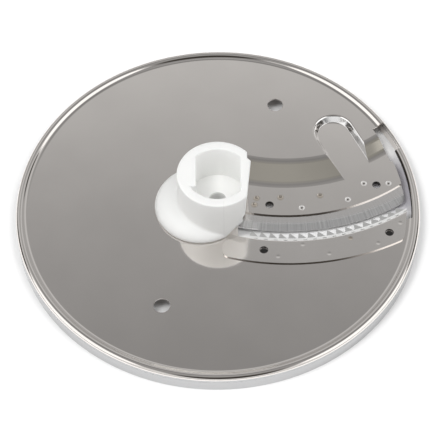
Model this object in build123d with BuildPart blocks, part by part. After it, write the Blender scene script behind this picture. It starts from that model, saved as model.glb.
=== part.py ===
from build123d import *
from build123d.topology import SkipClean
import os
from math import acos, atan2, ceil, cos, degrees, floor, hypot, radians, sin, sqrt

# Julienne disc of a food processor, lying on its skirt with the drive socket up
# The origin is on the disc's axis at the skirt's lower edge, +Z points up the hub
# +Y points to the disc's back, the slot runs from the hub towards +X

# Steel disc
rim_radius = 90.0
rim_height = 8.4
sheet = 0.8
bead_rise = 1.2
bead_radius = 2.0
bead_foot_radius = 2.7
bead_band = 24.0
plate_top = rim_height - bead_rise
hub_hole_radius = 7.0
plate_hole_radius = 3.6
plate_holes = ((27.4, 57.1), (-24.6, -52.2))

# Sunk deck: a ramp about one centre, a free edge about another
deck_drop = 3.0
deck_top = plate_top - deck_drop
deck_left = 11.0
ramp_centre = (32.0, 95.0)
ramp_radius = 69.2
left_slope = 15.0
left_bends = (12.0, 12.0)
right_slope = 23.0
right_bends = (8.0, 8.0)
deck_edge_centre = (32.0, 83.0)
deck_edge_radius = 86.7

# Tongue pressed into the ramp
tongue_centre = (53.8, 41.2)
tongue_heading = -65.5
tongue_half_width = 9.7
tongue_length = 28.0
tongue_slope = 60.0
tongue_bends = (1.0, 0.4)

# Slot and the cuts beside the rim
shear_inset = 3.9
shear_radius = rim_radius - shear_inset
deck_gap = 2.1
deck_reach = shear_radius - deck_gap
slot_left = 8.8
window_wall = 1.3
window_width = 5.7
window_outer_radius = rim_radius - window_wall
window_inner_radius = window_outer_radius - window_width
window_span = (17.8, 30.5)
window_bead_start = 19.8
shear_start = -5.8

# Slicing blade under the deck
blade_sheet = 1.0
blade_centre = (31.2, 90.4)
blade_edge_radius = 101.6
blade_back_radius = 81.4
blade_left = 8.2
blade_corner = 4.5
bevel_width = 3.0
bevel_left = 17.5
edge_land = 0.12

# Julienne comb on the plate
comb_sheet = 0.7
comb_outer_radius = 106.8
comb_front = -31.9
comb_centre = (32.6, comb_front + comb_outer_radius)
comb_width = 11.4
comb_bend_radius = comb_outer_radius - comb_width
comb_overhang = 3.0
slot_front_radius = comb_bend_radius + comb_overhang
comb_left = 1.8
comb_inset = 6.1
comb_reach = rim_radius - comb_inset
comb_hub_clearance = 19.6
comb_corner = 3.5
lip_slope = 22.0
lip_length = 2.0
lip_bend = 1.0
first_tooth = -11.6
tooth_width = 3.8
tooth_gap = 0.47
tooth_end_gap = 0.1
tooth_length = 2.4
tooth_slope = -3.0
tooth_point = 0.5
tooth_lean = 12.0
tooth_overlap = 0.5
tab_inset = 0.05
fin_sheet = 0.7
fin_inset = 0.12
fin_low = 2.6
fin_point = 1.2
lance_size = (1.7, 0.45)
lance_place = (3.1, -1.3)

# Locating holes and weld dimples, in plan
pin_hole_radius = 1.8
deck_pin_holes = ((23.2, 2.2), (deck_reach - 12.3, 12.4))
comb_pin_holes = ((19.9, -24.7), (comb_reach - 8.5, -16.4))
deck_welds = ((16.4, 2.3), (17.5, 5.8), (28.2, 6.1), (37.6, 0.3),
              (46.0, 6.8), (58.4, 4.5), (66.1, 13.3), (deck_reach - 6.8, 13.1))
comb_welds = ((37.0, -22.1), (58.1, -19.2), (70.1, -21.9),
              (comb_reach - 3.4, -11.3), (48.4, -27.1), (26.0, -28.2))
deck_weld_radius = 1.3
deck_weld_depth = 0.35
comb_weld_radius = 1.0
comb_weld_depth = 0.05

# Hub
tower_radius = 17.7
tower_height = 24.0
flat_shoulder = (13.2, 8.6)
flat_top_corner = (14.8, 6.8)
flat_low_corner = (12.6, -14.1)
flat_draft = 1.5
socket_radius = 13.4
socket_flat = 10.1
socket_floor = 5.0
key_flat = -9.25
key_low = -6.5
boss_wall = 0.9
dome_offset = -7.5
dome_radius = 20.5
dome_height = 8.8
dome_lift = 0.5
dome_inset = 0.8
crease_radius = 1.6
rim_round = 0.6
relief_left = 3.0
relief_rise = 1.3
relief_back = -2.0
hub_clearance = 0.05
pilot_radius = 3.75
pilot_depth = 9.0
cap_radius = 18.5
cap_right = 7.4
cap_low = 1.6
cap_round = 1.8

# Room above and below for cuts that go right through
past = 5.0

os.makedirs("parts", exist_ok=True)


def polar(radius, azimuth):
    """Plan point at a radius and an azimuth in degrees."""
    return (radius * cos(radians(azimuth)), radius * sin(radians(azimuth)))


def step_wall(edge, way, slope, bends, depth):
    """Curve of the pressed step from the plate to the deck, at a depth inside the sheet."""
    turn = radians(slope)
    straight = (deck_drop - sum(bends) * (1 - cos(turn))) / sin(turn)
    with BuildLine(mode=Mode.PRIVATE) as step:
        top = JernArc((edge, -depth), (way, 0), bends[0] - depth, -way * slope)
        wall = Line(top @ 1, top @ 1 + (top % 1) * straight)
        JernArc(wall @ 1, wall % 1, bends[1] + depth, way * slope)
    return step.line


def ramp_side(depth, above, slope, bends, side):
    """Space over the ramp and the flat deck on one side of the tongue, down to a depth inside the sheet."""
    axis_at = (*ramp_centre, plate_top)
    step = step_wall(ramp_radius, 1, slope, bends, depth)
    far = ramp_radius + 2 * rim_radius
    with BuildPart() as half:
        with BuildSketch(Plane(origin=axis_at, x_dir=(0, -1, 0), z_dir=(-1, 0, 0))):
            with BuildLine():
                add(step)
                Polyline(step @ 1, (far, (step @ 1).Y), (far, above), (ramp_radius, above), step @ 0)
            make_face()
        revolve(axis=Axis(axis_at, (0, 0, 1)))
        with BuildSketch(Plane.XY):
            with Locations(Location((*tongue_centre, 0), (0, 0, tongue_heading))):
                Rectangle(far, far, align=(Align.CENTER, side))
        extrude(amount=rim_height + past, mode=Mode.INTERSECT)
    return half.part


def ramp_pressing(depth, above, left):
    """Space over both ramps and the flat deck, down to a depth inside the sheet."""
    with BuildPart() as pressing:
        add(ramp_side(depth, above, left_slope, left_bends, Align.MAX))
        add(ramp_side(depth, above, right_slope, right_bends, Align.MIN))
        with BuildSketch(Plane.XY):
            with Locations((left, 0)):
                Rectangle(2 * rim_radius, 2 * rim_radius, align=(Align.MIN, Align.CENTER))
        extrude(amount=rim_height + past, mode=Mode.INTERSECT)
    return pressing.part


def tongue_pressing(depth, above):
    """Space of the tongue's pocket, down to a depth inside the sheet."""
    heading = (*polar(1, tongue_heading), 0)
    across = (*polar(1, tongue_heading + 90), 0)
    section = Plane(origin=(*tongue_centre, plate_top), x_dir=across, z_dir=heading)
    step = step_wall(tongue_half_width, -1, tongue_slope, tongue_bends, depth)
    low = (step @ 1).Y
    with BuildPart() as pressing:
        with BuildSketch(section) as half:
            with BuildLine():
                add(step)
                Polyline(step @ 1, (0, low), (0, above), (tongue_half_width, above), step @ 0)
            make_face()
        revolve(axis=Axis((*tongue_centre, 0), (0, 0, 1)))
        with BuildSketch(section):
            add(half.sketch_local)
            mirror(about=Plane.YZ)
        extrude(amount=tongue_length)
    return pressing.part


def weld_dimples(places, face, radius, depth):
    """Press a round dimple of a radius and a depth into a level face at each plan point."""
    ball = (radius**2 + depth**2) / (2 * depth)
    with Locations(*[(x, y, face - depth + ball) for x, y in places]):
        Sphere(ball, mode=Mode.SUBTRACT)


# Sheet of the pressing: the space down to its underside, less the space down to its face
with BuildPart() as pressing_space:
    add(ramp_pressing(0, past, deck_left + sheet))
    add(tongue_pressing(0, past))

with BuildPart() as pressed_sheet:
    add(ramp_pressing(sheet, 0, deck_left))
    with BuildSketch(Plane.XY):
        Circle(deck_reach)
        with Locations(deck_edge_centre):
            Circle(deck_edge_radius, mode=Mode.INTERSECT)
    extrude(amount=rim_height, mode=Mode.INTERSECT)
    add(tongue_pressing(sheet, 0))
    add(pressing_space.part, mode=Mode.SUBTRACT)

# Rim
bead_sum = bead_radius + bead_foot_radius
bead_slope = degrees(acos((bead_sum - bead_rise) / bead_sum))
bead_start = rim_radius - bead_radius - sqrt(bead_sum**2 - (bead_sum - bead_rise)**2)


def banded_arc(start, heading, radius, turn):
    """Arc drawn as short equal arcs, so that facets on the swept bead stay in narrow even bands."""
    count = ceil(abs(turn) / bead_band)
    for _ in range(count):
        band = JernArc(start, heading, radius, turn / count)
        start, heading = band @ 1, band % 1
    return band


def rim_sector(inner, start, end):
    """Bead and skirt that lie outside a radius, swept between two azimuths in degrees."""
    with BuildLine(mode=Mode.PRIVATE) as outline:
        foot = banded_arc((bead_start, plate_top), (1, 0), bead_foot_radius, bead_slope)
        crest = banded_arc(foot @ 1, foot % 1, bead_radius, -bead_slope - 90)
        skirt = Line(crest @ 1, (rim_radius, 0))
        hem = Line(skirt @ 1, (rim_radius - sheet, 0))
        inner_skirt = Line(hem @ 1, (rim_radius - sheet, (crest @ 1).Y))
        under_crest = JernArc(inner_skirt @ 1, (0, 1), bead_radius - sheet, bead_slope + 90)
        under_foot = JernArc(under_crest @ 1, under_crest % 1, bead_foot_radius + sheet, -bead_slope)
        Line(under_foot @ 1, (bead_start, plate_top))
    # A sketch would join the bands again
    section = Plane.XZ.rotated((0, 0, start)) * Face(outline.wire())
    with BuildPart() as sector:
        revolve(section, axis=Axis.Z, revolution_arc=end - start, clean=False)
        if inner > bead_start:
            with BuildSketch(Plane.XY):
                Circle(inner)
            extrude(amount=rim_height, mode=Mode.SUBTRACT)
    return sector.part


# Steel disc
through_plate = Plane.XY.offset(plate_top - deck_drop - past)
through_height = deck_drop + 2 * past

with BuildPart() as disc_plate:
    with BuildSketch(Plane.XY.offset(plate_top - sheet)):
        Circle(bead_start)
    extrude(amount=sheet)
    # Opening for the pressing and the slot
    with BuildSketch(through_plate):
        with Locations((slot_left, relief_back)):
            Rectangle(rim_radius, rim_radius, align=(Align.MIN, Align.MAX))
        with Locations((deck_left, 0)):
            Rectangle(rim_radius, 2 * rim_radius, align=(Align.MIN, Align.CENTER))
        with Locations(ramp_centre):
            Circle(ramp_radius, mode=Mode.SUBTRACT)
        with Locations(comb_centre):
            Circle(slot_front_radius, mode=Mode.INTERSECT)
        with Locations(tongue_centre):
            Circle(tongue_half_width)
            with Locations(Rotation(0, 0, tongue_heading)):
                Rectangle(tongue_length, 2 * tongue_half_width, align=(Align.MIN, Align.CENTER))
    extrude(amount=through_height, mode=Mode.SUBTRACT)
    add(pressed_sheet.part)
    # Window beside the ramp
    with BuildSketch(through_plate):
        Circle(rim_radius)
        Circle(window_inner_radius, mode=Mode.SUBTRACT)
        Polygon((0, 0), polar(2 * rim_radius, window_span[0]), polar(2 * rim_radius, window_span[1]),
                align=None, mode=Mode.INTERSECT)
    extrude(amount=through_height, mode=Mode.SUBTRACT)
    # Holes
    with BuildSketch(through_plate):
        Circle(hub_hole_radius)
        with Locations(*plate_holes):
            Circle(plate_hole_radius)
        with Locations(*deck_pin_holes, *comb_pin_holes):
            Circle(pin_hole_radius)
    extrude(amount=through_height, mode=Mode.SUBTRACT)
    weld_dimples(deck_welds, deck_top, deck_weld_radius, deck_weld_depth)
    # Rim: whole, sheared beside the deck, and cut back to a thin wall at the window
    with SkipClean():
        add(rim_sector(bead_start, window_span[1], shear_start + 360))
        add(rim_sector(shear_radius, shear_start, window_bead_start))
        add(rim_sector(window_outer_radius, window_bead_start, window_span[1]))
disc_plate.part.label = "disc_plate"
export_step(disc_plate.part, "parts/disc_plate.step")

# Slicing blade
blade_top = deck_top - sheet
bevel_low = edge_land - blade_sheet

# Space over the bevel that is ground on the upper face
with BuildPart() as bevel_space:
    with BuildSketch(Plane(origin=(*blade_centre, blade_top), x_dir=(0, -1, 0), z_dir=(-1, 0, 0))):
        with BuildLine():
            Polyline((blade_edge_radius - bevel_width, 0), (blade_edge_radius, bevel_low),
                     (blade_edge_radius + past, bevel_low), (blade_edge_radius + past, past),
                     (blade_edge_radius - bevel_width, past), close=True)
        make_face()
    revolve(axis=Axis((*blade_centre, 0), (0, 0, 1)))
    with BuildSketch(Plane.XY):
        with Locations((bevel_left, 0)):
            Rectangle(2 * rim_radius, rim_radius, align=(Align.MIN, Align.CENTER))
    extrude(amount=blade_top + past, mode=Mode.INTERSECT)

with BuildPart() as slicing_blade:
    with BuildSketch(Plane.XY.offset(blade_top - blade_sheet)) as blade_plan:
        with Locations(blade_centre):
            Circle(blade_edge_radius)
            Circle(blade_back_radius, mode=Mode.SUBTRACT)
        Circle(deck_reach, mode=Mode.INTERSECT)
        with Locations((blade_left, 0)):
            Rectangle(2 * rim_radius, rim_radius, align=(Align.MIN, Align.CENTER), mode=Mode.INTERSECT)
        fillet(blade_plan.vertices().group_by(Axis.X)[-1], blade_corner)
    extrude(amount=blade_sheet)
    add(bevel_space.part, mode=Mode.SUBTRACT)
    with BuildSketch(Plane.XY):
        with Locations(*deck_pin_holes):
            Circle(pin_hole_radius)
    extrude(amount=deck_top, mode=Mode.SUBTRACT)
slicing_blade.part.label = "slicing_blade"
export_step(slicing_blade.part, "parts/slicing_blade.step")

# Julienne comb
comb_axis = (*comb_centre, plate_top)
lip_turn = radians(lip_slope)
lip_end = comb_bend_radius - lip_bend * sin(lip_turn) - lip_length * cos(lip_turn)
lip_low = comb_sheet - lip_bend * (1 - cos(lip_turn)) - lip_length * sin(lip_turn)
tooth_pitch = degrees((tooth_width + tooth_gap) / lip_end)
tooth_turn = radians(tooth_slope)
tooth_tip = tooth_length * cos(tooth_turn)
tooth_drop = tooth_length * sin(tooth_turn)

# The row of teeth stops where one more would reach past the comb's outer end
row_reach = comb_reach - tooth_width - tooth_end_gap
centre_away = hypot(*comb_centre)
row_turn = acos((centre_away**2 + lip_end**2 - row_reach**2) / (2 * centre_away * lip_end))
last_tooth = degrees(row_turn - atan2(*comb_centre))
tooth_count = 1 + floor((last_tooth - first_tooth) / tooth_pitch)

with BuildPart() as julienne_comb:
    with BuildSketch(Plane(origin=comb_axis, x_dir=(0, -1, 0), z_dir=(-1, 0, 0))):
        with BuildLine():
            strip = Line((comb_outer_radius, comb_sheet), (comb_bend_radius, comb_sheet))
            bend = JernArc(strip @ 1, (-1, 0), lip_bend, lip_slope)
            lip = Line(bend @ 1, bend @ 1 + (bend % 1) * lip_length)
            end = Line(lip @ 1, lip @ 1 + Vector(sin(lip_turn), -cos(lip_turn)) * comb_sheet)
            under_lip = Line(end @ 1, end @ 1 - (lip % 1) * lip_length)
            under_bend = JernArc(under_lip @ 1, under_lip % 1, lip_bend - comb_sheet, -lip_slope)
            under_strip = Line(under_bend @ 1, (comb_outer_radius, 0))
            Line(under_strip @ 1, strip @ 0)
        make_face()
    revolve(axis=Axis(comb_axis, (0, 0, 1)))
    with BuildSketch(Plane.XY) as comb_plan:
        Circle(comb_reach)
        with Locations(comb_centre):
            Circle(comb_outer_radius, mode=Mode.INTERSECT)
        Circle(comb_hub_clearance, mode=Mode.SUBTRACT)
        with Locations((comb_left, comb_centre[1])):
            Rectangle(2 * rim_radius, 2 * rim_radius, align=(Align.MIN, Align.MAX), mode=Mode.INTERSECT)
        fillet(comb_plan.vertices().filter_by(lambda corner: corner.Y < -comb_corner), comb_corner)
    extrude(amount=rim_height + past, mode=Mode.INTERSECT)
    with BuildSketch(through_plate):
        with Locations(*comb_pin_holes):
            Circle(pin_hole_radius)
    extrude(amount=through_height, mode=Mode.SUBTRACT)
    weld_dimples(comb_welds, plate_top + comb_sheet, comb_weld_radius, comb_weld_depth)
    # Teeth: a pointed tab and a fin that hangs along its steep side
    lean = radians(tooth_lean)
    tip_side = tooth_length * sin(lean)
    low = fin_low - plate_top - lip_low
    for number in range(tooth_count):
        turn = radians(first_tooth + number * tooth_pitch)
        along = Vector(cos(turn), sin(turn), 0)
        inward = Vector(-sin(turn), cos(turn), 0)
        up = inward * sin(tooth_turn) + Vector(0, 0, cos(tooth_turn))
        root = Vector(*comb_axis) - inward * lip_end + Vector(0, 0, lip_low)
        tab_plane = Plane(origin=root - up * tab_inset, x_dir=along, z_dir=up)
        with BuildSketch(tab_plane):
            Polygon((0, -tooth_overlap), (0, 0), (tip_side, tooth_length),
                    (tip_side + tooth_point, tooth_length), (tooth_width, 0),
                    (tooth_width, -tooth_overlap), align=None)
        extrude(amount=2 * tab_inset - comb_sheet)
        fin_way = inward * cos(lean) + along * sin(lean)
        fin_side = fin_way.cross(Vector(0, 0, 1))
        with BuildSketch(Plane(origin=root + along * fin_inset, x_dir=fin_way, z_dir=fin_side)):
            Polygon((-tooth_overlap / 2, -comb_sheet / 3),
                    (tooth_tip - fin_inset, -tooth_drop - comb_sheet / 2),
                    (tooth_tip - fin_inset, low), (tooth_tip - fin_point, low),
                    (-tooth_overlap / 2, -comb_sheet * 3 / 4), align=None)
        extrude(amount=fin_sheet)
        with BuildSketch(tab_plane):
            with Locations(lance_place):
                Rectangle(*lance_size)
        extrude(amount=past / 2, both=True, mode=Mode.SUBTRACT)
julienne_comb.part.label = "julienne_comb"
export_step(julienne_comb.part, "parts/julienne_comb.step")

# Hub
dome_low = plate_top + dome_lift
hub_top = plate_top + tower_height
boss_radius = socket_radius + boss_wall
flat_way = (Vector(*flat_low_corner) - Vector(*flat_top_corner)).normalized()
flat_out = flat_way.cross(Vector(0, 0, -1))

with BuildPart() as hub:
    # Dome and tower
    with BuildSketch(Plane.XZ):
        with Locations((dome_offset, dome_low)):
            Ellipse(dome_radius, dome_height)
            Rectangle(dome_radius, dome_height, align=(Align.MIN, Align.MIN), mode=Mode.INTERSECT)
    revolve(axis=Axis((dome_offset, 0, 0), (0, 0, 1)))
    with BuildSketch(Plane.XY.offset(dome_low)) as tower_plan:
        Circle(tower_radius)
        Polygon(flat_shoulder, flat_top_corner, (rim_radius, flat_top_corner[1]), (rim_radius, rim_radius),
                (flat_shoulder[0], rim_radius), align=None, mode=Mode.SUBTRACT)
    extrude(amount=hub_top - dome_low)
    crease = hub.edges().filter_by(lambda e: dome_low + dome_lift < e.center().Z < dome_low + dome_height)
    fillet(crease.filter_by(GeomType.LINE, reverse=True), crease_radius)
    # Narrower seat, with a shadow gap under the dome's edge
    with BuildSketch(Plane.XY.offset(plate_top)):
        add(tower_plan.sketch_local)
        with Locations((dome_offset, 0)):
            Circle(dome_radius - dome_inset)
    extrude(amount=dome_lift)
    # Flat side that leans in towards its foot
    with BuildSketch(Plane(origin=(*flat_top_corner, hub_top), x_dir=flat_out, z_dir=flat_way)):
        Polygon((0, 0), (-flat_draft, -tower_height), (tower_radius, -tower_height),
                (tower_radius, 0), align=None)
    extrude(amount=2 * tower_radius, both=True, mode=Mode.SUBTRACT)
    # Slanted relief over the end of the slot, with the socket's boss left standing
    with BuildSketch(Plane.XZ.offset(-relief_back)):
        relief_top = plate_top + (rim_radius - relief_left) * relief_rise
        Polygon((relief_left - past / relief_rise, plate_top - past), (rim_radius, plate_top - past),
                (rim_radius, relief_top), align=None)
    extrude(amount=rim_radius, mode=Mode.SUBTRACT)
    with BuildSketch(Plane.XY.offset(plate_top)):
        Circle(boss_radius)
        with Locations((socket_flat + boss_wall, 0)):
            Rectangle(tower_radius, 2 * tower_radius, align=(Align.MIN, Align.CENTER), mode=Mode.SUBTRACT)
    extrude(amount=2 * socket_floor)
    # Core through the plate and the cap under it
    with BuildSketch(Plane.XY.offset(plate_top - sheet)):
        Circle(hub_hole_radius - hub_clearance)
    extrude(amount=sheet)
    with BuildSketch(Plane.XY.offset(cap_low)):
        Circle(cap_radius)
        with Locations((cap_right, 0)):
            Rectangle(2 * cap_radius, 2 * cap_radius, align=(Align.MIN, Align.CENTER), mode=Mode.SUBTRACT)
    extrude(amount=plate_top - sheet - cap_low)
    fillet(hub.faces().sort_by(Axis.Z)[0].edges(), cap_round)
    # Socket with its key, and the pilot hole in its floor
    with BuildSketch(Plane.XY.offset(plate_top + socket_floor)):
        Circle(socket_radius)
        with Locations((socket_flat, 0)):
            Rectangle(socket_radius, 2 * socket_radius, align=(Align.MIN, Align.CENTER), mode=Mode.SUBTRACT)
        with Locations((key_flat, key_low)):
            Rectangle(socket_radius, 2 * socket_radius, align=(Align.MAX, Align.MIN), mode=Mode.SUBTRACT)
    extrude(amount=tower_height, mode=Mode.SUBTRACT)
    with BuildSketch(Plane.XY.offset(plate_top + socket_floor)):
        Circle(pilot_radius)
    extrude(amount=-pilot_depth, mode=Mode.SUBTRACT)
    fillet(hub.faces().sort_by(Axis.Z)[-1].edges(), rim_round)
hub.part.label = "hub"
export_step(hub.part, "parts/hub.step")
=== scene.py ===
import bpy
import math
from mathutils import Matrix, Vector


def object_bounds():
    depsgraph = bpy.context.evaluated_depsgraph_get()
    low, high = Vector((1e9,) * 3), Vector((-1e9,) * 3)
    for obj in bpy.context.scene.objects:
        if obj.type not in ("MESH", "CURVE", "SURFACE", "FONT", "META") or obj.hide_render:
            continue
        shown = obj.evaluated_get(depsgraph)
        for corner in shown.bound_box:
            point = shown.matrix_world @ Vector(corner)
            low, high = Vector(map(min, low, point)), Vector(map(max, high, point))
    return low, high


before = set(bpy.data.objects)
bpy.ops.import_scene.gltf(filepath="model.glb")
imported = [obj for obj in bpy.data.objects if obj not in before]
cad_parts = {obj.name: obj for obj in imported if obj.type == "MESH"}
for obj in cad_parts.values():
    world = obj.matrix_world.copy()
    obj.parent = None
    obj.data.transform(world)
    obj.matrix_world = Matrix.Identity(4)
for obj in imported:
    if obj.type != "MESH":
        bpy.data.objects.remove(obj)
cad_low, cad_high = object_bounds()
scene = bpy.context.scene
scene.view_settings.view_transform = "Standard"

# Rim in millimetres: a turned bead whose crest runs into a hollow foot on the plate
mm = 1000.0
rim_radius = -mm * cad_low[0]
rim_height = 8.4
plate_top = 7.2
crest_radius = 2.0
crest_place = (rim_radius - crest_radius, rim_height - crest_radius)
foot_radius = 2.7
foot_height = plate_top + foot_radius
bead_span = crest_radius + foot_radius
foot_reach = math.sqrt(bead_span ** 2 - (foot_height - crest_place[1]) ** 2)
foot_place = (crest_place[0] - foot_reach, foot_height)
foot_end = crest_place[0] - foot_reach * crest_radius / bead_span
bead_slack = 0.09
skirt_slack = 0.08

# Painted light on the pressed sheet by height in millimetres, for faces that look up well enough: the deck
# is painted brighter and the ramp painted warmer, for the light that they reflect
deck_painted_light = (1.1, 1.1, 1.1)
ramp_painted_reflection = (0.96, 0.95, 0.87)
plate_tone = (1.0, 1.0, 1.0)
tone_top = 10.0
sheet_painted_light = ((0.0, deck_painted_light), (4.3, deck_painted_light), (4.6, ramp_painted_reflection), (6.8, ramp_painted_reflection), (7.1, plate_tone))
gentle_facing = (0.75, 0.88)

# Tongue's steep wall, painted with a highlight, and the sheared wall beside the deck, painted in shade, as
# limits in millimetres
tongue_left, tongue_front, tongue_reach = 40.0, 14.0, 80.0
shear_inset = 3.9
shear_radius = rim_radius - shear_inset
shear_left, shear_front, shear_slack = 80.0, -8.5, 0.4

# Comb's bent lip and blade's ground bevel, as radii about their own centres
comb_centre = (32.6, 74.9, 0.0)
lip_span = (94.8, 95.4)
tooth_radius = 93.2
blade_centre = (31.2, 90.4, 0.0)
bevel_span = (97.0, 98.6)

# Locating holes and welds in plan, and how far from their middles each mark fades out
pin_radius = 1.8
pin_wall = (pin_radius + 0.02, pin_radius + 0.14)
deck_pins = ((23.2, 2.2), (71.7, 12.4))
comb_pins = ((19.9, -24.7), (75.4, -16.4))
bright_welds = ((37.6, 0.3), (58.4, 4.5), (66.1, 13.3), (77.2, 13.1))
warm_welds = ((16.4, 2.3), (17.5, 5.8), (28.2, 6.1), (46.0, 6.8))
warm_comb_welds = ((58.1, -19.2),)
ring_outside, ring_inside, ring_middle = (1.15, 1.5), (0.65, 1.0), (0.15, 0.5)
disc_heat, comb_heat = (0.8, 1.9), (0.5, 1.4)
ring_share, heat_share = 0.7, 0.5

# Hub: the socket's walls, which carry painted light, and the parting line on the tower's front
socket_radius = 13.6
socket_middle, socket_half_height = 21.0, 9.9
seam_place, seam_half_width, seam_front = 2.6, 0.16, -15.0
seam_share = 0.12

# Finish: roughness, what each mark adds to it, and what each mark takes from the metal
disc_roughness, comb_roughness, blade_roughness = 0.07, 0.12, 0.14
tongue_softness, skirt_softness, bend_softness, bevel_softness = 0.05, 0.12, 0.25, 0.2
ring_metal_loss, lip_metal_loss, tooth_metal_loss = 0.75, 0.7, 0.2
cloudy_roughness = (0.8, 1.25)
hub_roughness = (0.32, 0.46)

# Patterns, at scales by the millimetre or, for the grinding streaks, by the radian
steel_clouds = {"Scale": 0.035, "Detail": 3.0, "Roughness": 0.5}
steel_cloud_span = (0.35, 0.65)
grinding = {"Scale": 95.0, "Detail": 4.0, "Roughness": 0.7}
grinding_greys = ((0.3, 0.66), (0.52, 0.82), (0.7, 0.96))
flat_streaks, bevel_streaks = 0.15, 0.7
hub_clouds = {"Scale": 0.12, "Detail": 2.0}
hub_grain = {"Scale": 6.0, "Detail": 3.0}
grain_depth = {"Strength": 0.02, "Distance": 0.0001}
hub_softness = {"Subsurface Weight": 0.5, "Subsurface Radius": (1.0, 1.0, 1.0), "Subsurface Scale": 0.006}

# Colours, and how much darker the clouds in them are
steel_cloud_tone, hub_cloud_tone = 0.96, 0.975
shade = (0.06, 0.055, 0.05)
heat_tint = (0.46, 0.36, 0.22)
disc_colour = (0.85, 0.81, 0.775)
tongue_highlight_colour = (0.96, 0.955, 0.95)
ring_colour = (0.95, 0.95, 0.94)
skirt_shade_colour = (0.55, 0.55, 0.555)
comb_colour = (0.94, 0.9, 0.865)
lip_colour = (0.9, 0.9, 0.89)
tooth_shade_colour = (0.72, 0.72, 0.71)
blade_colour = (0.9, 0.87, 0.85)
hub_colour = (0.87, 0.872, 0.86)
socket_painted_light = (0.97, 0.972, 0.955)
seam_colour = (0.45, 0.45, 0.44)
floor_colour = (0.95, 0.95, 0.95)
gap_shade_colour = (0.6, 0.59, 0.64)
dark_colour = (0.05, 0.045, 0.04)
white = (1.0, 1.0, 1.0)


def grey(value):
    return (value, value, value)


def darker(colour, share):
    return tuple(share * part for part in colour)


# Node helpers
class Nodes:
    """Short calls for building one node tree."""

    def __init__(self, tree):
        self.tree = tree
        tree.nodes.clear()

    def add(self, kind, inputs=None, **settings):
        """New node whose inputs are linked or set. Colours come without their alpha."""
        node = self.tree.nodes.new(kind)
        for key, value in settings.items():
            setattr(node, key, value)
        for key, value in (inputs or {}).items():
            socket = node.inputs[key]
            if isinstance(value, bpy.types.NodeSocket):
                self.tree.links.new(value, socket)
            else:
                socket.default_value = (*value, 1.0) if socket.type == "RGBA" else value
        return node

    def math(self, operation, a, b=0.0, c=0.0):
        return self.add("ShaderNodeMath", {0: a, 1: b, 2: c}, operation=operation).outputs[0]

    def vector(self, operation, a, b=(0.0, 0.0, 0.0), output="Vector"):
        return self.add("ShaderNodeVectorMath", {0: a, 1: b}, operation=operation).outputs[output]

    def hypot(self, a, b):
        return self.math("SQRT", self.math("ADD", self.math("MULTIPLY", a, a), self.math("MULTIPLY", b, b)))

    def all_of(self, first, *others):
        """Product of masks: 1 only where each of them is 1."""
        for other in others:
            first = self.math("MULTIPLY", first, other)
        return first

    def fade(self, value, span, ends=(0.0, 1.0), interpolation="LINEAR"):
        """From the first end to the second one while a value crosses a span."""
        inputs = {0: value, 1: span[0], 2: span[1], 3: ends[0], 4: ends[1]}
        return self.add("ShaderNodeMapRange", inputs, interpolation_type=interpolation).outputs[0]

    def near(self, point, places, reach):
        """1 close to any of the places, in plan, and 0 farther off than the reach's end."""
        found = 0.0
        for x, y in places:
            away = self.vector("DISTANCE", point, (x, y, 0.0), "Value")
            found = self.math("MAXIMUM", found, self.fade(away, reach, (1.0, 0.0)))
        return found

    def ramp(self, factor, stops):
        node = self.add("ShaderNodeValToRGB", {0: factor})
        elements = node.color_ramp.elements
        while len(elements) < len(stops):
            elements.new(1.0)
        for element, (place, colour) in zip(elements, stops):
            element.position = place
            element.color = (*colour, 1.0)
        return node.outputs[0]

    def grey_ramp(self, factor, stops):
        return self.ramp(factor, [(place, grey(value)) for place, value in stops])

    def mix(self, factor, a, b, blend="MIX"):
        inputs = {0: factor, 6: a, 7: b}
        return self.add("ShaderNodeMix", inputs, data_type="RGBA", blend_type=blend).outputs[2]

    def surface(self, inputs):
        """One shader as the material's surface."""
        shader = self.add("ShaderNodeBsdfPrincipled", inputs)
        self.add("ShaderNodeOutputMaterial", {"Surface": shader.outputs[0]})


def new_material(name):
    material = bpy.data.materials.new(name)
    material.use_nodes = True
    return material, Nodes(material.node_tree)


def place_mm(n, scale=(mm, mm, mm)):
    """Object position in millimetres."""
    return n.vector("MULTIPLY", n.add("ShaderNodeTexCoord").outputs["Object"], scale)


def plan_mm(n):
    """Object position in millimetres with its height set to 0, for distances in plan."""
    return place_mm(n, (mm, mm, 0.0))


def place_parts(n):
    """Object position in millimetres: across, back, up and the distance from the axis."""
    x, y, z = n.add("ShaderNodeSeparateXYZ", {0: place_mm(n)}).outputs
    return x, y, z, n.hypot(x, y)


def bead_normal(n, x, y, z, radius):
    """True normal of the turned bead, so that its facets don't show in reflections."""

    def arc(place, size, way):
        """Normal outwards and upwards on one arc, and 1 on the arc's own surface."""
        out = n.math("MULTIPLY", n.math("SUBTRACT", radius, place[0]), way)
        up = n.math("MULTIPLY", n.math("SUBTRACT", z, place[1]), way)
        return out, up, n.math("COMPARE", n.hypot(out, up), size, bead_slack)

    on_foot = n.math("LESS_THAN", radius, foot_end)
    pairs = zip(arc(crest_place, crest_radius, 1.0), arc(foot_place, foot_radius, -1.0))
    out, up, on_arc = [n.add("ShaderNodeMix", {0: on_foot, 2: crest, 3: foot}, data_type="FLOAT").outputs[0]
                       for crest, foot in pairs]
    on_bead = n.math("MULTIPLY", on_arc, n.math("GREATER_THAN", radius, foot_place[0]))
    turn = n.math("DIVIDE", out, radius)
    across, back = n.math("MULTIPLY", x, turn), n.math("MULTIPLY", y, turn)
    local = n.add("ShaderNodeCombineXYZ", {0: across, 1: back, 2: up}).outputs[0]
    true = n.add("ShaderNodeVectorTransform", {0: local}, vector_type="NORMAL",
                 convert_from="OBJECT", convert_to="WORLD").outputs[0]
    shaded = n.add("ShaderNodeNewGeometry").outputs["Normal"]
    mixed = n.add("ShaderNodeMix", {0: on_bead, 4: shaded, 5: true}, data_type="VECTOR").outputs[1]
    return n.vector("NORMALIZE", mixed)


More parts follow.
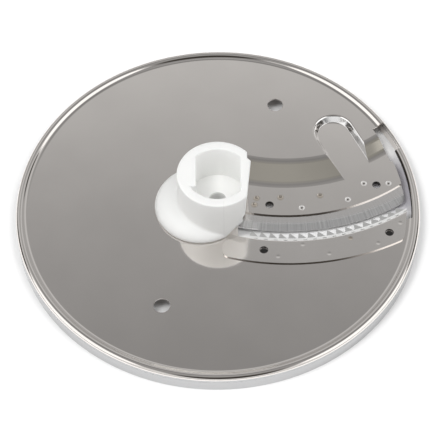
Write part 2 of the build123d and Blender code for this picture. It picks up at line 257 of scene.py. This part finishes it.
# Marks that the steel pieces share
def polished(n, point, base, roughness):
    """Colour and roughness of polished sheet steel, a little cloudy."""
    cloud = n.add("ShaderNodeTexNoise", {"Vector": point, **steel_clouds}).outputs[0]
    colour = n.mix(n.fade(cloud, steel_cloud_span), darker(base, steel_cloud_tone), base)
    rough = n.fade(cloud, (0.0, 1.0), [roughness * share for share in cloudy_roughness])
    return colour, rough


def pin_walls(n, point, places, colour):
    """Colour with the locating holes' walls in shade."""
    return n.mix(n.near(point, places, pin_wall), colour, shade)


def heated(n, point, places, reach, colour):
    """Colour with the tint that heat has left around welds."""
    return n.mix(n.math("MULTIPLY", n.near(point, places, reach), heat_share), colour, heat_tint)


# Disc
def painted_sheet_light(n, colour, z, radius, gentle):
    """Colour with painted light: a brighter deck, and a warmer ramp between the deck and the plate."""
    stops = [(height / tone_top, tone) for height, tone in sheet_painted_light]
    tone = n.ramp(n.math("DIVIDE", z, tone_top), stops)
    pressed = n.math("MULTIPLY", gentle, n.math("LESS_THAN", radius, foot_place[0]))
    return n.mix(pressed, colour, tone, "MULTIPLY")


def painted_tongue_highlight(n, x, y, radius, gentle):
    """1 on the tongue's steep wall, which gets a painted highlight and is a little softer."""
    right = n.math("GREATER_THAN", x, tongue_left)
    behind = n.math("GREATER_THAN", y, tongue_front)
    inside = n.math("LESS_THAN", radius, tongue_reach)
    return n.all_of(right, behind, inside, n.math("SUBTRACT", 1.0, gentle))


def weld_rings(n, point):
    """Share of the matt ring around each bright weld."""
    outside = n.near(point, bright_welds, ring_outside)
    inside = n.near(point, bright_welds, ring_inside)
    return n.math("MULTIPLY", n.math("SUBTRACT", outside, inside), ring_share)


def shaded_cut_wall(n, x, y, radius):
    """1 on the cut wall beside the deck, which is painted in shade."""
    at_cut = n.math("COMPARE", radius, shear_radius, shear_slack)
    return n.all_of(at_cut, n.math("GREATER_THAN", x, shear_left), n.math("GREATER_THAN", y, shear_front))


def steel_disc(name, base):
    """Pressed sheet with its bead, deck, tongue, welds, cut wall and brushed skirt; painted light brightens
    the deck, ramp and tongue, and painted shade darkens the cut wall and skirt.
    """
    material, n = new_material(name)
    point = plan_mm(n)
    x, y, z, radius = place_parts(n)
    facing = n.add("ShaderNodeNewGeometry").outputs["Normal"]
    gentle = n.fade(n.add("ShaderNodeSeparateXYZ", {0: facing}).outputs[2], gentle_facing)
    painted_highlight = painted_tongue_highlight(n, x, y, radius, gentle)
    ring = weld_rings(n, point)
    skirt = n.math("COMPARE", radius, rim_radius, skirt_slack)
    colour, rough = polished(n, point, base, disc_roughness)
    # Painted light: the deck brighter and the ramp warmer.
    colour = painted_sheet_light(n, colour, z, radius, gentle)
    # Painted highlight on the tongue's steep wall.
    colour = n.mix(painted_highlight, colour, tongue_highlight_colour)
    colour = n.mix(ring, colour, ring_colour)
    # Painted shade in the middle of each bright weld.
    colour = n.mix(n.near(point, bright_welds, ring_middle), colour, shade)
    colour = heated(n, point, warm_welds, disc_heat, colour)
    colour = pin_walls(n, point, deck_pins, colour)
    # Painted shade on the cut wall beside the deck.
    colour = n.mix(shaded_cut_wall(n, x, y, radius), colour, shade)
    rough = n.math("MULTIPLY_ADD", painted_highlight, tongue_softness, rough)
    n.surface({
        # Painted shade: the skirt is darker for the shaded floor that it reflects.
        "Base Color": n.mix(skirt, colour, skirt_shade_colour),
        "Metallic": n.math("MULTIPLY_ADD", ring, -ring_metal_loss, 1.0),
        "Roughness": n.math("MULTIPLY_ADD", skirt, skirt_softness, rough),
        "Normal": bead_normal(n, x, y, z, radius)})
    return material


# Comb
def steel_comb(name, base):
    """Polished strip with a paler matt lip where it was bent, and teeth where it was lanced, which are
    painted a darker grey as painted shade.
    """
    material, n = new_material(name)
    point = plan_mm(n)
    away = n.vector("DISTANCE", point, comb_centre, "Value")
    bent = n.fade(away, lip_span, (1.0, 0.0))
    teeth = n.math("LESS_THAN", away, tooth_radius)
    lip = n.math("SUBTRACT", bent, teeth)
    colour, rough = polished(n, point, base, comb_roughness)
    colour = n.mix(lip, colour, lip_colour)
    # Painted shade: the teeth are a darker grey than the strip.
    colour = n.mix(teeth, colour, tooth_shade_colour)
    colour = heated(n, point, warm_comb_welds, comb_heat, colour)
    metal = n.math("MULTIPLY_ADD", teeth, -tooth_metal_loss, 1.0)
    n.surface({
        "Base Color": pin_walls(n, point, comb_pins, colour),
        "Metallic": n.math("MULTIPLY_ADD", lip, -lip_metal_loss, metal),
        "Roughness": n.math("MULTIPLY_ADD", bent, bend_softness, rough)})
    return material


# Blade
def steel_blade(name, base):
    """Steel with grinding streaks that run across the bevel, from the edge's own centre."""
    material, n = new_material(name)
    point = plan_mm(n)
    offset = n.vector("SUBTRACT", point, blade_centre)
    across, back, _ = n.add("ShaderNodeSeparateXYZ", {0: offset}).outputs
    angle = n.math("ARCTAN2", across, n.math("MULTIPLY", back, -1.0))
    streak = n.add("ShaderNodeTexNoise", {"W": angle, **grinding}, noise_dimensions="1D").outputs[0]
    tone = n.grey_ramp(streak, grinding_greys)
    bevel = n.fade(n.vector("LENGTH", offset, output="Value"), bevel_span)
    colour = n.mix(n.math("MULTIPLY_ADD", bevel, bevel_streaks, flat_streaks), base, tone)
    n.surface({
        "Base Color": pin_walls(n, point, deck_pins, colour),
        "Metallic": 1.0,
        "Roughness": n.math("MULTIPLY_ADD", bevel, bevel_softness, blade_roughness)})
    return material


# Hub
def plastic(name, base):
    """Satin moulding, faintly cloudy, with painted light in the socket and a fine parting line."""
    material, n = new_material(name)
    point = place_mm(n)
    x, y, z, radius = place_parts(n)
    cloud = n.add("ShaderNodeTexNoise", {"Vector": point, **hub_clouds}).outputs[0]
    grain = n.add("ShaderNodeTexNoise", {"Vector": point, **hub_grain}).outputs[0]
    in_socket = n.math("COMPARE", z, socket_middle, socket_half_height)
    socket = n.all_of(n.math("LESS_THAN", radius, socket_radius), in_socket)
    on_line = n.math("COMPARE", x, seam_place, seam_half_width)
    seam = n.all_of(on_line, n.math("LESS_THAN", y, seam_front), seam_share)
    colour = n.mix(cloud, darker(base, hub_cloud_tone), base)
    # Painted light: the socket's walls are paler than the outside.
    colour = n.mix(socket, colour, socket_painted_light)
    n.surface({
        "Base Color": n.mix(seam, colour, seam_colour),
        "Roughness": n.fade(grain, (0.0, 1.0), hub_roughness),
        "Normal": n.add("ShaderNodeBump", {"Height": grain, **grain_depth}).outputs[0],
        **hub_softness})
    return material


def assign(node, material):
    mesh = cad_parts[node].data
    mesh.materials.clear()
    mesh.materials.append(material)


assign("disc_plate", steel_disc("disc_steel", disc_colour))
assign("julienne_comb", steel_comb("comb_steel", comb_colour))
assign("slicing_blade", steel_blade("blade_steel", blade_colour))
assign("hub", plastic("hub_plastic", hub_colour))

# Floor: its size in metres, and its glow and painted shade in millimetres
floor_size = 8.0
open_lift, covered_lift = 0.16, 0.02
cover_reach = (88.0, 103.0)
gap_place, gap_reach, gap_inset = (86.0, 14.0), (9.0, 20.0), 1.0
hole_shift, hole_reach = 5.2, (2.2, 4.0)


def floor_glow(n, ground):
    """Lift to white for the eye and for reflections, away from the disc."""
    path = n.add("ShaderNodeLightPath").outputs
    mirrored = n.math("MAXIMUM", path["Is Glossy Ray"], path["Is Transmission Ray"])
    seen = n.math("MAXIMUM", path["Is Camera Ray"], mirrored)
    covered = n.near(ground, ((0.0, 0.0),), cover_reach)
    lift = n.math("MULTIPLY_ADD", covered, covered_lift - open_lift, open_lift)
    strength = n.math("MULTIPLY", seen, lift)
    return n.add("ShaderNodeEmission", {"Color": white, "Strength": strength}).outputs[0]


def floor_matt(n, ground):
    """Pale paint, with painted shade beside the deck and under the comb's locating holes."""
    radius = place_parts(n)[3]
    under_disc = n.math("LESS_THAN", radius, rim_radius - gap_inset)
    gap = n.math("MULTIPLY", under_disc, n.near(ground, (gap_place,), gap_reach))
    shade_below_holes = [(x, y + hole_shift) for x, y in comb_pins]
    # Painted shade on the floor beside the deck and under the comb's locating holes.
    paint = n.mix(gap, floor_colour, gap_shade_colour)
    paint = n.mix(n.near(ground, shade_below_holes, hole_reach), paint, shade)
    return n.add("ShaderNodeBsdfDiffuse", {"Color": paint}).outputs[0]


def make_floor():
    """Plain floor that is white around the disc and keeps its soft shadow."""
    bpy.ops.mesh.primitive_plane_add(size=floor_size, location=(0, 0, 0))
    plane = bpy.context.object
    plane.name = "floor"
    material, n = new_material("floor_paint")
    ground = plan_mm(n)
    both = n.add("ShaderNodeAddShader", {0: floor_glow(n, ground), 1: floor_matt(n, ground)})
    n.add("ShaderNodeOutputMaterial", {"Surface": both.outputs[0]})
    plane.data.materials.append(material)
    return plane


floor = make_floor()

# Room's greys behind and in front of the disc, by height from the horizon at 0 to straight up at 1
back_greys = ((0.0, 0.42), (0.30, 0.42), (0.45, 0.6), (0.53, 0.62), (0.553, 0.56), (0.60, 0.385),
              (0.656, 0.29), (0.755, 0.23), (0.86, 0.31), (0.933, 0.37), (1.0, 0.4))
front_greys = ((0.0, 0.1), (0.05, 0.1), (0.09, 0.85), (0.4, 0.8), (0.5, 0.75), (0.6, 0.45),
               (0.68, 0.33), (0.78, 0.3), (0.9, 0.36), (1.0, 0.4))
back_start = (0.05, 0.3)

# Spots in the room: a direction, and the angles in degrees across which each one fades out
bright_side, bright_angles, bright_level = (0.79, -0.21, 0.57), (25.5, 29.5), 1.25
dark_side, dark_angles = (0.88, 0.35, 0.31), (7.0, 14.0)
stand_way, stand_angles = (0.06, -0.68, 0.73), (15.0, 26.0)


def spot(n, way, direction, angles):
    """1 inside the first angle about a direction and 0 beyond the second one."""
    facing = n.vector("DOT_PRODUCT", way, Vector(direction).normalized(), "Value")
    inner, outer = [math.cos(math.radians(angle)) for angle in angles]
    return n.fade(facing, (outer, inner), interpolation="SMOOTHSTEP")


def room_colour(n):
    """Grey room with a large soft light and a dark spot on either side, and a dark camera stand."""
    way = n.add("ShaderNodeTexCoord").outputs["Generated"]
    _, back, up = n.add("ShaderNodeSeparateXYZ", {0: way}).outputs
    height = n.math("DIVIDE", n.math("ARCSINE", up), 0.5 * math.pi)
    behind = n.fade(back, back_start, interpolation="SMOOTHSTEP")
    room = n.mix(behind, n.grey_ramp(height, front_greys), n.grey_ramp(height, back_greys))
    for side in (-1.0, 1.0):
        flip = Vector((side, 1.0, 1.0))
        room = n.mix(spot(n, way, flip * Vector(bright_side), bright_angles), room, grey(bright_level))
        room = n.mix(spot(n, way, flip * Vector(dark_side), dark_angles), room, dark_colour)
    return n.mix(spot(n, way, stand_way, stand_angles), room, dark_colour)


def make_world():
    """Room that lights and reflects, behind a plain white backdrop for the camera."""
    world = bpy.data.worlds.new("studio")
    world.use_nodes = True
    n = Nodes(world.node_tree)
    room = n.add("ShaderNodeBackground", {"Color": room_colour(n), "Strength": 1.0}).outputs[0]
    backdrop = n.add("ShaderNodeBackground", {"Color": white, "Strength": 1.0}).outputs[0]
    camera_ray = n.add("ShaderNodeLightPath").outputs["Is Camera Ray"]
    picked = n.add("ShaderNodeMixShader", {0: camera_ray, 1: room, 2: backdrop})
    n.add("ShaderNodeOutputWorld", {"Surface": picked.outputs[0]})
    return world


scene.world = make_world()

# Softboxes light the matt surfaces, and the steel reflects the room alone
softbox_size = 0.35
softbox_target = Vector((0.0, 0.0, 0.02))


def softbox(name, place, power):
    data = bpy.data.lights.new(name, "AREA")
    data.shape = "DISK"
    data.size = softbox_size
    data.energy = power
    box = bpy.data.objects.new(name, data)
    scene.collection.objects.link(box)
    box.location = place
    box.rotation_euler = (softbox_target - Vector(place)).to_track_quat("-Z", "Y").to_euler()
    box.visible_glossy = False


softbox("key_light", (-0.3, -0.2, 0.85), 3.05)
softbox("fill_light", (0.25, -0.15, 0.9), 1.65)

# Camera at the photograph's place, in metres and radians: 54 degrees up and a little rolled
reach, rise, roll = 0.8, 0.9460993, 0.015068
centre = Vector((0.0, 0.0, 0.008))
eye = centre + Vector((0.0, -reach * math.cos(rise), reach * math.sin(rise)))
camera_data = bpy.data.cameras.new("camera")
camera_data.sensor_width = 36.0
camera_data.lens = 147.02
camera_data.shift_x = 0.00529
camera_data.shift_y = -0.03508
camera_data.clip_start = 0.01
camera_data.clip_end = 50.0
camera = bpy.data.objects.new("camera", camera_data)
scene.collection.objects.link(camera)
look = (centre - eye).to_track_quat("-Z", "Y").to_matrix().to_4x4()
camera.matrix_world = Matrix.Translation(eye) @ look @ Matrix.Rotation(-roll, 4, "Z")
scene.camera = camera
